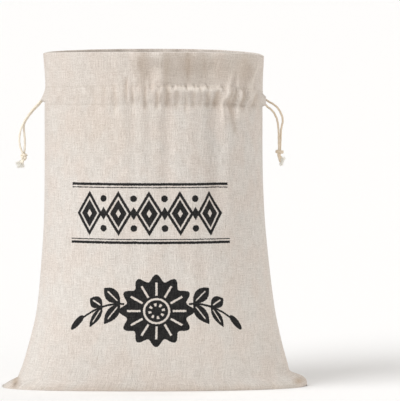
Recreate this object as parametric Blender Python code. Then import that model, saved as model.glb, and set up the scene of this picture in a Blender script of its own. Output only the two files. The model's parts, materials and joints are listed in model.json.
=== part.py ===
"""A linen bread bag with a drawstring, standing open on its flattened base.

Two cloth panels meet at the side seams and along the bottom seam. The top of each panel is turned
down inside: it makes the heading, the channel for the two drawcords, and a facing below it.
Each drawcord goes all round the channel and both its ends leave at one side, joined by a knot.
Metres, +Z up. The printed front faces -Y. The origin is on the floor, under the bag's middle.
"""

import math
from collections import namedtuple

import bmesh
import bpy
import numpy as np

# Cloth and cord
CLOTH = 0.0010
LAYER_GAP = 0.0004
SEAM_CUT = 0.00015
CORD = 0.0021
CORD_GAP = 0.0009

# The drawcord channel, between its two rows of stitches
CHANNEL_BULGE = 0.0016
TUNNEL = 0.0050
TUNNEL_FULLNESS = 0.6
CHANNEL_CUT = 0.0044
CORD_LEVEL = {"left": 0.28, "right": 0.66}
EXIT_COLUMN = 2

# Sampling of the solids. Extra columns stand at shares of each gather's half width, and at shares
# of the channel ends' pull, unless another column is nearer than the least step.
COLUMN_STEP = 0.0150
LEAST_COLUMN_STEP = 0.0036
FOLD_COLUMNS = (-0.8, 0.0, 0.8)
END_COLUMNS = (0.45, 1.1)
SECTION_SAMPLES = 241
ARC_STEPS = 3
CORD_STEP = 0.0055
CORD_ROUNDNESS = 2
CURVE_STEPS = 12

# Heights at the panel's middle and at its two side seams, the reach from the bag's middle to each
# seam, the depth from the seams to the panel's middle, how blunt each half of the section is (2 is
# an ellipse), and how late along the panel the height turns towards the seam's own height.
Level = namedtuple(
    "Level", "middle left right reach_left reach_right depth blunt_left blunt_right late"
)

FLOOR_EDGE = Level(0.0000, 0.0024, 0.0040, 0.1525, 0.1522, 0.0445, 3.20, 2.10, 24)
WALL = [
    Level(0.0028, 0.0042, 0.0072, 0.1490, 0.1508, 0.0476, 3.10, 2.10, 14),
    Level(0.0100, 0.0088, 0.0126, 0.1375, 0.1400, 0.0507, 2.70, 2.10, 8),
    Level(0.0220, 0.0205, 0.0225, 0.1326, 0.1328, 0.0550, 2.40, 2.10, 4),
    Level(0.0450, 0.0435, 0.0435, 0.1258, 0.1270, 0.0625, 2.22, 2.10, 2.5),
    Level(0.0800, 0.0785, 0.0785, 0.1176, 0.1197, 0.0718, 2.15, 2.10, 2.5),
    Level(0.1250, 0.1235, 0.1235, 0.1131, 0.1139, 0.0782, 2.10, 2.10, 2.5),
    Level(0.1800, 0.1780, 0.1780, 0.1099, 0.1090, 0.0815, 2.08, 2.08, 2.5),
    Level(0.2350, 0.2325, 0.2310, 0.1093, 0.1072, 0.0806, 2.05, 2.05, 2.5),
    Level(0.2680, 0.2655, 0.2630, 0.1090, 0.1070, 0.0770, 2.05, 2.05, 2.5),
]
LOWER_STITCH = Level(0.2840, 0.2812, 0.2785, 0.1085, 0.1068, 0.0740, 2.05, 2.05, 2.5)
UPPER_STITCH = Level(0.3020, 0.2985, 0.2925, 0.1076, 0.1070, 0.0735, 2.05, 2.05, 2.5)
HEADING = [
    Level(0.3130, 0.3095, 0.3050, 0.1084, 0.1073, 0.0750, 2.00, 2.00, 2.5),
    Level(0.3240, 0.3210, 0.3175, 0.1096, 0.1080, 0.0768, 1.95, 1.95, 2.5),
]
RIM = Level(0.3338, 0.3312, 0.3282, 0.1105, 0.1086, 0.0782, 1.90, 1.90, 2.5)
FACING_HEM = 0.0055
CHANNEL_SHARES = (0.24, 0.5, 0.76)
FLOOR_SHARES = (0.0, 0.5)

# The ears, the flattened bottom corners, are solid past their roots. The rows there that the
# cloth's inner face keeps clear of the floor, and how much each stands over the one before.
EAR_ROOT = 0.1320
EAR_ROWS = 5
FLOOR_RISE = 0.25

# Gathers. Place and half width are measured along the cloth from the panel's middle, at the
# channel; drift is how far the fold moves sideways over its height; depth is inwards, and a
# ridge has a negative depth.
Fold = namedtuple("Fold", "place drift half_width depth foot top")

FRONT_FOLDS = [
    Fold(-0.0980, 0.002, 0.0090, 0.0012, 0.262, 0.330),
    Fold(-0.0330, 0.001, 0.0070, 0.0016, 0.258, 0.332),
    Fold(-0.0120, 0.001, 0.0080, 0.0032, 0.256, 0.345),
    Fold(0.0130, 0.000, 0.0070, 0.0028, 0.262, 0.345),
    Fold(0.0420, 0.001, 0.0080, 0.0024, 0.258, 0.345),
    Fold(0.0800, 0.012, 0.0085, 0.0030, 0.236, 0.345),
    Fold(0.1120, 0.009, 0.0070, 0.0026, 0.262, 0.345),
]
BACK_FOLDS = [
    Fold(-0.1080, -0.003, 0.0080, 0.0024, 0.260, 0.345),
    Fold(-0.0700, 0.002, 0.0075, 0.0028, 0.248, 0.345),
    Fold(-0.0280, -0.002, 0.0080, 0.0026, 0.258, 0.345),
    Fold(0.0090, 0.001, 0.0070, 0.0030, 0.252, 0.345),
    Fold(0.0530, -0.003, 0.0085, 0.0026, 0.256, 0.345),
    Fold(0.0950, 0.002, 0.0080, 0.0022, 0.262, 0.345),
]
FOLD_FADE = 0.020

# The channel's ends stand out where the drawcords pull on them.
END_PULL = {"left": 0.0036, "right": 0.0020}
END_PULL_WIDTH = 0.012
HALF_GIRTH = 0.145

# Free ends of the drawcords, each from the channel's end to the knot.
LEFT_FRONT_ROUTE = [
    (-0.1073, -0.0062, 0.2874), (-0.1101, -0.0029, 0.2872), (-0.1131, -0.0018, 0.2853),
    (-0.1166, -0.0014, 0.2812), (-0.1199, -0.0013, 0.2779), (-0.1231, -0.0012, 0.2741),
    (-0.1256, -0.0012, 0.2708), (-0.1279, -0.0012, 0.2674), (-0.1299, -0.0012, 0.2640),
    (-0.1320, -0.0012, 0.2596), (-0.1335, -0.0012, 0.2555), (-0.1345, -0.0012, 0.2500),
    (-0.1347, -0.0012, 0.2445), (-0.1340, -0.0012, 0.2392), (-0.1322, -0.0012, 0.2346),
]
LEFT_BACK_ROUTE = [
    (-0.1073, 0.0062, 0.2870), (-0.1099, 0.0029, 0.2862), (-0.1128, 0.0018, 0.2839),
    (-0.1161, 0.0014, 0.2800), (-0.1194, 0.0013, 0.2768), (-0.1226, 0.0012, 0.2731),
    (-0.1252, 0.0012, 0.2699), (-0.1275, 0.0012, 0.2665), (-0.1295, 0.0012, 0.2630),
    (-0.1304, 0.0012, 0.2590), (-0.1302, 0.0012, 0.2550), (-0.1297, 0.0012, 0.2503),
    (-0.1294, 0.0012, 0.2450), (-0.1294, 0.0012, 0.2396), (-0.1298, 0.0012, 0.2346),
]
RIGHT_FRONT_ROUTE = [
    (0.1054, -0.0062, 0.2872), (0.1077, -0.0034, 0.2848), (0.1098, -0.0022, 0.2816),
    (0.1120, -0.0019, 0.2790), (0.1150, -0.0016, 0.2768), (0.1179, -0.0014, 0.2738),
    (0.1201, -0.0013, 0.2700), (0.1217, -0.0013, 0.2660), (0.1225, -0.0013, 0.2617),
    (0.1230, -0.0013, 0.2572), (0.1233, -0.0013, 0.2527), (0.1233, -0.0013, 0.2480),
    (0.1234, -0.0013, 0.2432), (0.1236, -0.0014, 0.2370),
]
RIGHT_BACK_ROUTE = [
    (0.1053, 0.0062, 0.2886), (0.1081, 0.0030, 0.2877), (0.1108, 0.0020, 0.2857),
    (0.1137, 0.0018, 0.2838), (0.1168, 0.0016, 0.2821), (0.1200, 0.0015, 0.2799),
    (0.1231, 0.0014, 0.2767), (0.1256, 0.0013, 0.2722), (0.1271, 0.0013, 0.2679),
    (0.1273, 0.0013, 0.2641), (0.1265, 0.0013, 0.2602), (0.1258, 0.0013, 0.2566),
    (0.1255, 0.0013, 0.2526), (0.1253, 0.0013, 0.2480), (0.1251, 0.0013, 0.2430),
    (0.1249, 0.0014, 0.2370),
]

# Knots and their frayed tails, as a line of rings: place and radius.
Ring = namedtuple("Ring", "x y z radius")
LEFT_KNOT = [
    Ring(-0.1309, 0.0, 0.2334, 0.0026), Ring(-0.1304, 0.0, 0.2316, 0.0035),
    Ring(-0.1301, 0.0, 0.2290, 0.0038), Ring(-0.1308, 0.0, 0.2268, 0.0030),
    Ring(-0.1321, 0.0, 0.2249, 0.0020), Ring(-0.1331, 0.0, 0.2226, 0.0028),
    Ring(-0.1341, 0.0, 0.2198, 0.0042), Ring(-0.1347, 0.0, 0.2182, 0.0040),
]
RIGHT_KNOT = [
    Ring(0.1243, 0.0, 0.2360, 0.0026), Ring(0.1243, 0.0, 0.2347, 0.0037),
    Ring(0.1242, 0.0, 0.2330, 0.0037), Ring(0.1236, 0.0, 0.2316, 0.0023),
    Ring(0.1238, 0.0, 0.2286, 0.0022), Ring(0.1250, 0.0, 0.2252, 0.0027),
    Ring(0.1262, 0.0, 0.2222, 0.0022), Ring(0.1269, 0.0, 0.2204, 0.0014),
]
KNOT_SIDES = 3

LINEN = {"colour": (0.64, 0.56, 0.48), "roughness": 0.92}
COTTON_CORD = {"colour": (0.78, 0.70, 0.55), "roughness": 0.88}


def clear_scene():
    for old in list(bpy.data.objects):
        bpy.data.objects.remove(old)


def make_material(name, looks):
    material = bpy.data.materials.new(name)
    material.use_nodes = True
    shader = material.node_tree.nodes["Principled BSDF"]
    shader.inputs["Base Color"].default_value = (*looks["colour"], 1.0)
    shader.inputs["Roughness"].default_value = looks["roughness"]
    shader.inputs["Metallic"].default_value = 0.0
    return material


def between(low, high, share):
    """A level part of the way from one level to another."""
    return Level(*(a + (b - a) * share for a, b in zip(low, high)))


def section_curve(level):
    """The front half of a section as columns of x, y and outward normal, evenly spaced along it."""
    angle = np.linspace(-math.pi / 2, math.pi / 2, SECTION_SAMPLES)
    power = 2.0 / np.where(angle < 0, level.blunt_left, level.blunt_right)
    reach = np.where(angle < 0, level.reach_left, level.reach_right)
    x = reach * np.sign(np.sin(angle)) * np.abs(np.sin(angle)) ** power
    y = -level.depth * np.abs(np.cos(angle)) ** power
    travelled = np.concatenate([[0.0], np.cumsum(np.hypot(np.diff(x), np.diff(y)))])
    even = np.linspace(0.0, travelled[-1], SECTION_SAMPLES)
    x = np.interp(even, travelled, x)
    y = np.interp(even, travelled, y)
    along_x, along_y = np.gradient(x), np.gradient(y)
    size = np.hypot(along_x, along_y)
    return {"length": travelled[-1], "x": x, "y": y, "out_x": along_y / size, "out_y": -along_x / size}


def fold_depth(folds, place, height):
    """How far the gathers push the cloth inwards at this place along it and this height."""
    total = 0.0
    for fold in folds:
        rise = (height - LOWER_STITCH.middle) / (RIM.middle - LOWER_STITCH.middle)
        distance = abs(place - fold.place - fold.drift * rise) / fold.half_width
        if distance < 1.0:
            up = min(1.0, max(0.0, (height - fold.foot) / FOLD_FADE))
            down = min(1.0, max(0.0, (fold.top - height) / FOLD_FADE))
            total += fold.depth * 0.5 * (1.0 + math.cos(math.pi * distance)) * up * down
    return total


def end_pull(share):
    """How far the drawcords pull a channel row outwards, for a place from -1 to 1 along it."""
    side = "left" if share < 0 else "right"
    distance = (1.0 - abs(share)) * HALF_GIRTH / END_PULL_WIDTH
    return END_PULL[side] * math.exp(-distance * distance)


# A row of a panel: its level, and for each face of the cloth how far it stands inside the bag's
# outline and how far it is lifted; the allowance kept from the side seam; the share of the pull.
Row = namedtuple("Row", "level face back face_lift back_lift cut pull")


def plain_row(level, face, back):
    return Row(level, face, back, 0.0, 0.0, SEAM_CUT, 0.0)


def tunnel_width(share):
    """The clear width of the channel at a share of its height."""
    return LAYER_GAP + TUNNEL * math.sin(math.pi * share) ** TUNNEL_FULLNESS


def channel_row(share, facing):
    """A row between the two lines of stitches, at a share of the channel's height."""
    arch = math.sin(math.pi * share)
    face = -CHANNEL_BULGE * arch
    back = face + CLOTH
    if facing:
        face, back = back + tunnel_width(share) + CLOTH, back + tunnel_width(share)
    level = between(LOWER_STITCH, UPPER_STITCH, share)
    return Row(level, face, back, 0.0, 0.0, CHANNEL_CUT, arch)


def rim_row(step):
    """A row of the turn over the rim, from the outside of the bag to its inside."""
    turn = math.pi * step / ARC_STEPS
    around, lift = (1 - math.cos(turn)) / 2, math.sin(turn) / 2
    double = 2 * CLOTH + LAYER_GAP
    return Row(
        RIM,
        around * double, CLOTH + around * LAYER_GAP,
        lift * double, lift * LAYER_GAP,
        SEAM_CUT, 0.0,
    )


def panel_rows():
    """Rows of the cloth: up the wall, over the rim, and down the facing inside."""
    inner = 2 * CLOTH + LAYER_GAP, CLOTH + LAYER_GAP
    rows = [plain_row(level, 0.0, CLOTH) for level in [FLOOR_EDGE, *WALL, LOWER_STITCH]]
    rows += [channel_row(share, False) for share in CHANNEL_SHARES]
    rows += [plain_row(level, 0.0, CLOTH) for level in [UPPER_STITCH, *HEADING]]
    rows += [rim_row(step) for step in range(ARC_STEPS + 1)]
    rows += [plain_row(level, *inner) for level in [*reversed(HEADING), UPPER_STITCH]]
    rows += [channel_row(share, True) for share in reversed(CHANNEL_SHARES)]
    rows.append(plain_row(LOWER_STITCH, *inner))
    hem = {name: getattr(LOWER_STITCH, name) - FACING_HEM for name in ("middle", "left", "right")}
    rows.append(plain_row(LOWER_STITCH._replace(**hem), *inner))
    return rows


def section_point(curve, row, share, folds, inward, lift):
    """A point of one row, for a share from -1 at the left seam to 1 at the right seam."""
    length, level = curve["length"], row.level
    share *= 1.0 - 2.0 * row.cut / length
    at = (share + 1.0) / 2.0 * (SECTION_SAMPLES - 1)
    steps = np.arange(SECTION_SAMPLES)
    x, y = np.interp(at, steps, curve["x"]), np.interp(at, steps, curve["y"])
    out_x, out_y = np.interp(at, steps, curve["out_x"]), np.interp(at, steps, curve["out_y"])
    side = level.left if share < 0 else level.right
    height = level.middle + (side - level.middle) * abs(share) ** level.late
    inward += fold_depth(folds, share * length / 2, height) * (1.0 - share**8)
    x -= out_x * inward
    y -= out_y * inward
    x += math.copysign(end_pull(share) * row.pull, share)
    return np.array([x, min(y, -SEAM_CUT), height + lift])


def wall_points(rows, curves, share, folds, back):
    """One column up a panel, on the outer or the inner face of its cloth."""
    points = []
    for row, curve in zip(rows, curves):
        inward, lift = (row.back, row.back_lift) if back else (row.face, row.face_lift)
        points.append(section_point(curve, row, share, folds, inward, lift))
    return points


def floor_points(edge, share, back):
    """The part of a column that lies under the bag, from the bottom seam to the floor's edge."""
    reach, tip = FLOOR_EDGE.reach_left, FLOOR_EDGE.left
    if share > 0:
        reach, tip = FLOOR_EDGE.reach_right, FLOOR_EDGE.right
    seam = np.array([share * reach, -SEAM_CUT, 0.0])
    points = []
    for part in FLOOR_SHARES:
        point = seam + (edge - seam) * part
        point[2] = tip * part * abs(share) ** FLOOR_EDGE.late
        points.append(point)
    return points


def panel_points(folds, back):
    """One face of a front panel as an array of columns, rows and coordinates."""
    rows = panel_rows()
    curves = [section_curve(row.level) for row in rows]
    points = []
    for share in column_shares(folds):
        walls = wall_points(rows, curves, share, folds, back)
        points.append(floor_points(walls[0], share, back) + walls)
    points = np.array(points)
    if back:
        for row in range(EAR_ROWS):
            rest = CLOTH * (1.0 + row * FLOOR_RISE)
            points[:, row, 2] = np.maximum(points[:, row, 2], rest)
            points[:, row, 0] = np.clip(points[:, row, 0], -EAR_ROOT, EAR_ROOT)
    return points


def column_shares(folds):
    """Places across a panel, from -1 to 1: evenly spaced ones, and a few for each gather."""
    half = section_curve(UPPER_STITCH)["length"] / 2
    places = list(np.linspace(-half, half, 2 * round(half / COLUMN_STEP) + 1)[1:-1])
    for fold in folds:
        places += [fold.place + fold.drift / 2 + side * fold.half_width for side in FOLD_COLUMNS]
    places += [side * (half - END_PULL_WIDTH * step) for side in (-1, 1) for step in END_COLUMNS]
    kept = [-half]
    for place in sorted(places):
        if place - kept[-1] > LEAST_COLUMN_STEP and half - place > LEAST_COLUMN_STEP:
            kept.append(place)
    return [place / half for place in [*kept, half]]


def make_panel(name, folds, mirror, material):
    """A sewn panel as one closed solid: its outer grid, thickened inwards by the cloth."""
    outer = panel_points(folds, back=False)
    inner = panel_points(folds, back=True)
    columns, rows = outer.shape[:2]
    bm = bmesh.new()
    bmesh.ops.create_grid(bm, x_segments=columns - 1, y_segments=rows - 1, size=1.0)
    column_of = bm.verts.layers.int.new("column")
    row_of = bm.verts.layers.int.new("row")
    for vert in bm.verts:
        vert[column_of] = round((vert.co.x + 1) / 2 * (columns - 1))
        vert[row_of] = round((vert.co.y + 1) / 2 * (rows - 1))
    first = set(bm.verts)
    bmesh.ops.extrude_face_region(bm, geom=list(bm.faces), use_keep_orig=True)
    for vert in bm.verts:
        grid = outer if vert in first else inner
        vert.co = grid[vert[column_of], vert[row_of]]
        if mirror:
            vert.co.y = -vert.co.y
    bmesh.ops.recalc_face_normals(bm, faces=bm.faces)
    if bm.calc_volume(signed=True) < 0:
        bmesh.ops.reverse_faces(bm, faces=bm.faces)
    bmesh.ops.triangulate(bm, faces=bm.faces)
    mesh = bpy.data.meshes.new(name)
    bm.to_mesh(mesh)
    bm.free()
    mesh.materials.append(material)
    mesh.shade_smooth()
    panel = bpy.data.objects.new(name, mesh)
    bpy.context.scene.collection.objects.link(panel)
    return panel


def smooth_route(route, step):
    """Points about one step apart on a smooth curve through a route's own points."""
    knots = np.array(route, float)
    padded = np.vstack([2 * knots[0] - knots[1], knots, 2 * knots[-1] - knots[-2]])
    fine = []
    for k in range(1, len(padded) - 2):
        before, start, end, after = padded[k - 1 : k + 3]
        for t in np.linspace(0.0, 1.0, CURVE_STEPS, endpoint=False):
            fine.append(
                0.5 * (
                    2 * start
                    + (end - before) * t
                    + (2 * before - 5 * start + 4 * end - after) * t**2
                    + (3 * start - before - 3 * end + after) * t**3
                )
            )
    fine = np.array(fine + [knots[-1]])
    travelled = np.concatenate([[0.0], np.cumsum(np.linalg.norm(np.diff(fine, axis=0), axis=1))])
    even = np.linspace(0.0, travelled[-1], max(2, round(travelled[-1] / step) + 1))
    return np.stack([np.interp(even, travelled, fine[:, axis]) for axis in range(3)], axis=1)


def make_tube(name, points, radii, roundness, material):
    """A tube with filled ends along a line of points, with a radius at each."""
    curve = bpy.data.curves.new(name, "CURVE")
    curve.dimensions = "3D"
    curve.bevel_depth = 1.0
    curve.bevel_resolution = roundness
    curve.use_fill_caps = True
    spline = curve.splines.new("POLY")
    spline.points.add(len(points) - 1)
    for spot, place, radius in zip(spline.points, points, radii):
        spot.co = (*place, 1.0)
        spot.radius = radius
    curve.materials.append(material)
    tube = bpy.data.objects.new(name, curve)
    bpy.context.scene.collection.objects.link(tube)
    return tube


def make_cord(name, points, material):
    return make_tube(name, points, [CORD / 2] * len(points), CORD_ROUNDNESS, material)


def channel_line(side, folds, mirror):
    """The middle of a cord inside one panel's channel, a point at each of the panel's columns."""
    share = CORD_LEVEL[side]
    wall = channel_row(share, False)
    curve = section_curve(wall.level)
    inward = wall.back + tunnel_width(share) / 2
    row = wall._replace(cut=0.0)
    columns = [section_point(curve, row, place, folds, inward, 0.0) for place in column_shares(folds)]
    return [np.array([x, -y if mirror else y, z]) for x, y, z in columns]


def make_run(name, side, material):
    """The hidden length of a drawcord: round the channel from one of its exits to the other."""
    front = channel_line(side, FRONT_FOLDS, mirror=False)
    back = channel_line(side, BACK_FOLDS, mirror=True)
    if side == "right":
        front, back = front[::-1], back[::-1]
    line = front[EXIT_COLUMN:-1] + back[: EXIT_COLUMN - 1 : -1]
    return make_cord(name, line, material)


def make_tie(name, side, route, material):
    """A free end of a drawcord, from its run inside the channel out to the knot."""
    folds, mirror = (FRONT_FOLDS, False) if route[0][1] < 0 else (BACK_FOLDS, True)
    inside = channel_line(side, folds, mirror)
    if side == "right":
        inside = inside[::-1]
    start, onwards = inside[EXIT_COLUMN], inside[EXIT_COLUMN - 1]
    start = start + (onwards - start) / np.linalg.norm(onwards - start) * CORD_GAP
    return make_cord(name, smooth_route([start, *route], CORD_STEP), material)


def make_knot(name, rings, material):
    points = [(ring.x, ring.y, ring.z) for ring in rings]
    return make_tube(name, points, [ring.radius for ring in rings], KNOT_SIDES, material)


def main():
    clear_scene()
    linen = make_material("linen", LINEN)
    cord = make_material("cotton_cord", COTTON_CORD)
    make_panel("front_panel", FRONT_FOLDS, False, linen)
    make_panel("back_panel", BACK_FOLDS, True, linen)
    make_run("left_drawcord", "left", cord)
    make_run("right_drawcord", "right", cord)
    make_tie("left_front_tie", "left", LEFT_FRONT_ROUTE, cord)
    make_tie("left_back_tie", "left", LEFT_BACK_ROUTE, cord)
    make_tie("right_front_tie", "right", RIGHT_FRONT_ROUTE, cord)
    make_tie("right_back_tie", "right", RIGHT_BACK_ROUTE, cord)
    make_knot("left_knot", LEFT_KNOT, cord)
    make_knot("right_knot", RIGHT_KNOT, cord)


main()
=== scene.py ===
import json
import math
from collections import namedtuple

import bmesh
import bpy
import numpy as np
from mathutils import Vector
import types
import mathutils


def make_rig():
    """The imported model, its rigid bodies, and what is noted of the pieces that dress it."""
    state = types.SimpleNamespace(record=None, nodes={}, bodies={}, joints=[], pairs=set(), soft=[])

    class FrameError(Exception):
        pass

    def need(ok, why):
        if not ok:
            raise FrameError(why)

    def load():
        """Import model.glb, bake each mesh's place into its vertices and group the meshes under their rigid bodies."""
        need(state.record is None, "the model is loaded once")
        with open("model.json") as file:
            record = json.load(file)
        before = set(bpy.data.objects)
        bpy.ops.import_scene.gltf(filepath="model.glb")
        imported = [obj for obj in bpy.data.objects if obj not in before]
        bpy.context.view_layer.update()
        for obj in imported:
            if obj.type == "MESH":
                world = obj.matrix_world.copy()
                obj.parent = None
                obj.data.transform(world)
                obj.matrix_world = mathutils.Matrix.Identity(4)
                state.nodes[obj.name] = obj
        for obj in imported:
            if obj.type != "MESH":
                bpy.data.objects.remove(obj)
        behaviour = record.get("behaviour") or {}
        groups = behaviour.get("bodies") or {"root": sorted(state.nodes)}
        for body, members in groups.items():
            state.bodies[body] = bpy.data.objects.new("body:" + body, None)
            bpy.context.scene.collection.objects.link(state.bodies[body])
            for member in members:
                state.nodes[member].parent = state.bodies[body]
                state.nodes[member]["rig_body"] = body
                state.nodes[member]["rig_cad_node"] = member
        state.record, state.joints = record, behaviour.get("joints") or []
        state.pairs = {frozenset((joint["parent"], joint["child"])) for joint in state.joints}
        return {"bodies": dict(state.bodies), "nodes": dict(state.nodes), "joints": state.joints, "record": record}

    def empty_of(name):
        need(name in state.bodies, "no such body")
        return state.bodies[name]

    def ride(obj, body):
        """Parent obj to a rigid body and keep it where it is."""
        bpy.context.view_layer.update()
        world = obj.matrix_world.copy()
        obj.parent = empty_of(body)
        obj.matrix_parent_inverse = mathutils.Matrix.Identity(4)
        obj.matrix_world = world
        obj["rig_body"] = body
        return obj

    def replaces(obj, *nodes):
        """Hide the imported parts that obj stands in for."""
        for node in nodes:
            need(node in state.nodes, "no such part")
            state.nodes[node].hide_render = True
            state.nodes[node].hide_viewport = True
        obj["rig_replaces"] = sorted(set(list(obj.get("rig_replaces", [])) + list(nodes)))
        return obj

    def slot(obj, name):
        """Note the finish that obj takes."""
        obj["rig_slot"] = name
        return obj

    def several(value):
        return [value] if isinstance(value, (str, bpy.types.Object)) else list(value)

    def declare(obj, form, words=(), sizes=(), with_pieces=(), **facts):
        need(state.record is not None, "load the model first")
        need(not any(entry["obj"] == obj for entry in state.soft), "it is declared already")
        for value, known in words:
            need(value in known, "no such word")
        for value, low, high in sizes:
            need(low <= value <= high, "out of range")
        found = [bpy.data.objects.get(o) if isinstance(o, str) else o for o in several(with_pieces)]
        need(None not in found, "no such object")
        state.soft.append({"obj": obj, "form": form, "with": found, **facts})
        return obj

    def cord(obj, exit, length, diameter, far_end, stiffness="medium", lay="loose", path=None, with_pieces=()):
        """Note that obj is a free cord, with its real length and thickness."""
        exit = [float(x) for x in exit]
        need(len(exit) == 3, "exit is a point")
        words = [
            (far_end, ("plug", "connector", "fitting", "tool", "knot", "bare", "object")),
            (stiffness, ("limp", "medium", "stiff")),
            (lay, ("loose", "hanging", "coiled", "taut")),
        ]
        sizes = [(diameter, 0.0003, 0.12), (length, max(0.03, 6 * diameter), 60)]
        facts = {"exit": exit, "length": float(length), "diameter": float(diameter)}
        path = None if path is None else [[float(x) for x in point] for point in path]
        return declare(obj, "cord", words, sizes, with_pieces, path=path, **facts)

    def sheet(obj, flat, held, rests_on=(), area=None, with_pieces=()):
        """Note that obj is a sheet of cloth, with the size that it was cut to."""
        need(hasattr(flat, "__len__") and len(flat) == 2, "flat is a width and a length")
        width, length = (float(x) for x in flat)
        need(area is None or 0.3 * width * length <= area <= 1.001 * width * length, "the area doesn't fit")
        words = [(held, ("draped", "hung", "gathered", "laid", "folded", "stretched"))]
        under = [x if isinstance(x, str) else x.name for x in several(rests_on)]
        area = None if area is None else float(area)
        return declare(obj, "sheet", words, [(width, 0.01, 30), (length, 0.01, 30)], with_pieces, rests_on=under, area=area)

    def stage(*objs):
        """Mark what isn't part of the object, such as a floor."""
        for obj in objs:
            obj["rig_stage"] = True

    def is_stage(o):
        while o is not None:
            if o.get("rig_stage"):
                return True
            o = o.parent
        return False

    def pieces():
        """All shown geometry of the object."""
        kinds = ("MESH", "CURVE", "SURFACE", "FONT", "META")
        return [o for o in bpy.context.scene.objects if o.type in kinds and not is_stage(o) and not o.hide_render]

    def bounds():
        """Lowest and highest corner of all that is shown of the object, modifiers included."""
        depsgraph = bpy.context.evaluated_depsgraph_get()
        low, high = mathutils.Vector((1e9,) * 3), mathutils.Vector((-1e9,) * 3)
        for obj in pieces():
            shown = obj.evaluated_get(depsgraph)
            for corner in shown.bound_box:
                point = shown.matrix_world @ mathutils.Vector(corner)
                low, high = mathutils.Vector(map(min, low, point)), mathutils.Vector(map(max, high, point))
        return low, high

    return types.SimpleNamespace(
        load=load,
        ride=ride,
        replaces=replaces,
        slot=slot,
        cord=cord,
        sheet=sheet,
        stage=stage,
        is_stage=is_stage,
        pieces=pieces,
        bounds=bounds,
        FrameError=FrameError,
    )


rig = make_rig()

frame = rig.load()
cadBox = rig.bounds()


# Shader sums, written as Python expressions on a wrapped socket

class Signal:
    def __init__(self, tree, socket=None):
        self.tree = tree
        self.socket = socket

    def make(self, kind, inputs=(), output=0, **settings):
        node = self.tree.nodes.new(kind)
        for name, value in settings.items():
            setattr(node, name, value)
        for place, value in dict(inputs).items():
            if isinstance(value, Signal):
                self.tree.links.new(value.socket, node.inputs[place])
            else:
                node.inputs[place].default_value = value
        return Signal(self.tree, node.outputs[output])

    def maths(self, operation, *terms):
        return self.make("ShaderNodeMath", dict(enumerate(terms)), operation=operation)

    def __add__(self, other):
        return self.maths("ADD", self, other)

    def __radd__(self, other):
        return self.maths("ADD", other, self)

    def __sub__(self, other):
        return self.maths("SUBTRACT", self, other)

    def __rsub__(self, other):
        return self.maths("SUBTRACT", other, self)

    def __mul__(self, other):
        return self.maths("MULTIPLY", self, other)

    def __rmul__(self, other):
        return self.maths("MULTIPLY", other, self)

    def __truediv__(self, other):
        return self.maths("DIVIDE", self, other)

    def __pow__(self, other):
        return self.maths("POWER", self, other)

    def __neg__(self):
        return self.maths("MULTIPLY", self, -1.0)

    def __abs__(self):
        return self.maths("ABSOLUTE", self)

    def sin(self):
        return self.maths("SINE", self)

    def floor(self):
        return self.maths("FLOOR", self)

    def least(self, other):
        return self.maths("MINIMUM", self, other)

    def most(self, other):
        return self.maths("MAXIMUM", self, other)

    def step(self, low, high):
        span = {"Value": self, "From Min": low, "From Max": high}
        return self.make("ShaderNodeMapRange", span, interpolation_type="SMOOTHSTEP")

    def noise(self, x, y, scale, detail=2.0, z=0.0):
        place = self.make("ShaderNodeCombineXYZ", {0: x, 1: y, 2: z})
        look = {"Vector": place, "Scale": scale, "Detail": detail}
        return self.make("ShaderNodeTexNoise", look)

    def blend(self, low, high):
        mix = {0: self, 6: low, 7: high}
        return self.make("ShaderNodeMix", mix, output=2, data_type="RGBA")

    def bump(self, distance):
        return self.make("ShaderNodeBump", {"Height": self, "Distance": distance})


def newMaterial(name, sockets):
    material = bpy.data.materials.new(name)
    material.use_nodes = True
    shader = material.node_tree.nodes["Principled BSDF"]
    for socket, value in sockets.items():
        shader.inputs[socket].default_value = value
    return material, Signal(material.node_tree), shader


def feed(shader, socket, signal):
    signal.tree.links.new(signal.socket, shader.inputs[socket])


def mapCoordinates(wires, scale):
    place = wires.make("ShaderNodeUVMap", uv_map="cloth")
    return [wires.make("ShaderNodeSeparateXYZ", {0: place}, output=k) * scale for k in (0, 1)]


def objectAxes(wires, axes=(0, 1, 2)):
    place = wires.make("ShaderNodeTexCoord", output="Object")
    return [wires.make("ShaderNodeSeparateXYZ", {0: place}, output=k) for k in axes]


# Camera

cameraValues = {
    "place": (0.045, -3.3, 0.405),
    "aim": (0.045, 0.0, 0.1855),
    "lens": 298.0,
    "sensor": 36.0,
}


def aimed(thing, place, aim):
    thing.location = place
    thing.rotation_euler = (Vector(aim) - Vector(place)).to_track_quat("-Z", "Y").to_euler()
    bpy.context.scene.collection.objects.link(thing)
    return thing


def makeCamera(values):
    lens = bpy.data.cameras.new("camera")
    lens.lens = values["lens"]
    lens.sensor_width = values["sensor"]
    camera = aimed(bpy.data.objects.new("camera", lens), values["place"], values["aim"])
    bpy.context.scene.camera = camera


makeCamera(cameraValues)
print("camera made")


# Meshes from grids and lines

def finishMesh(name, bm, *materials):
    mesh = bpy.data.meshes.new(name)
    bm.to_mesh(mesh)
    bm.free()
    for material in materials:
        mesh.materials.append(material)
    mesh.shade_smooth()
    thing = bpy.data.objects.new(name, mesh)
    bpy.context.scene.collection.objects.link(thing)
    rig.ride(thing, "root")
    return thing


def gridVerts(bm, columns, rows):
    made = bmesh.ops.create_grid(bm, x_segments=columns - 1, y_segments=rows - 1, size=1.0)
    for vert in made["verts"]:
        column = round((vert.co.x + 1) / 2 * (columns - 1))
        row = round((vert.co.y + 1) / 2 * (rows - 1))
        yield vert, column, row


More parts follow.
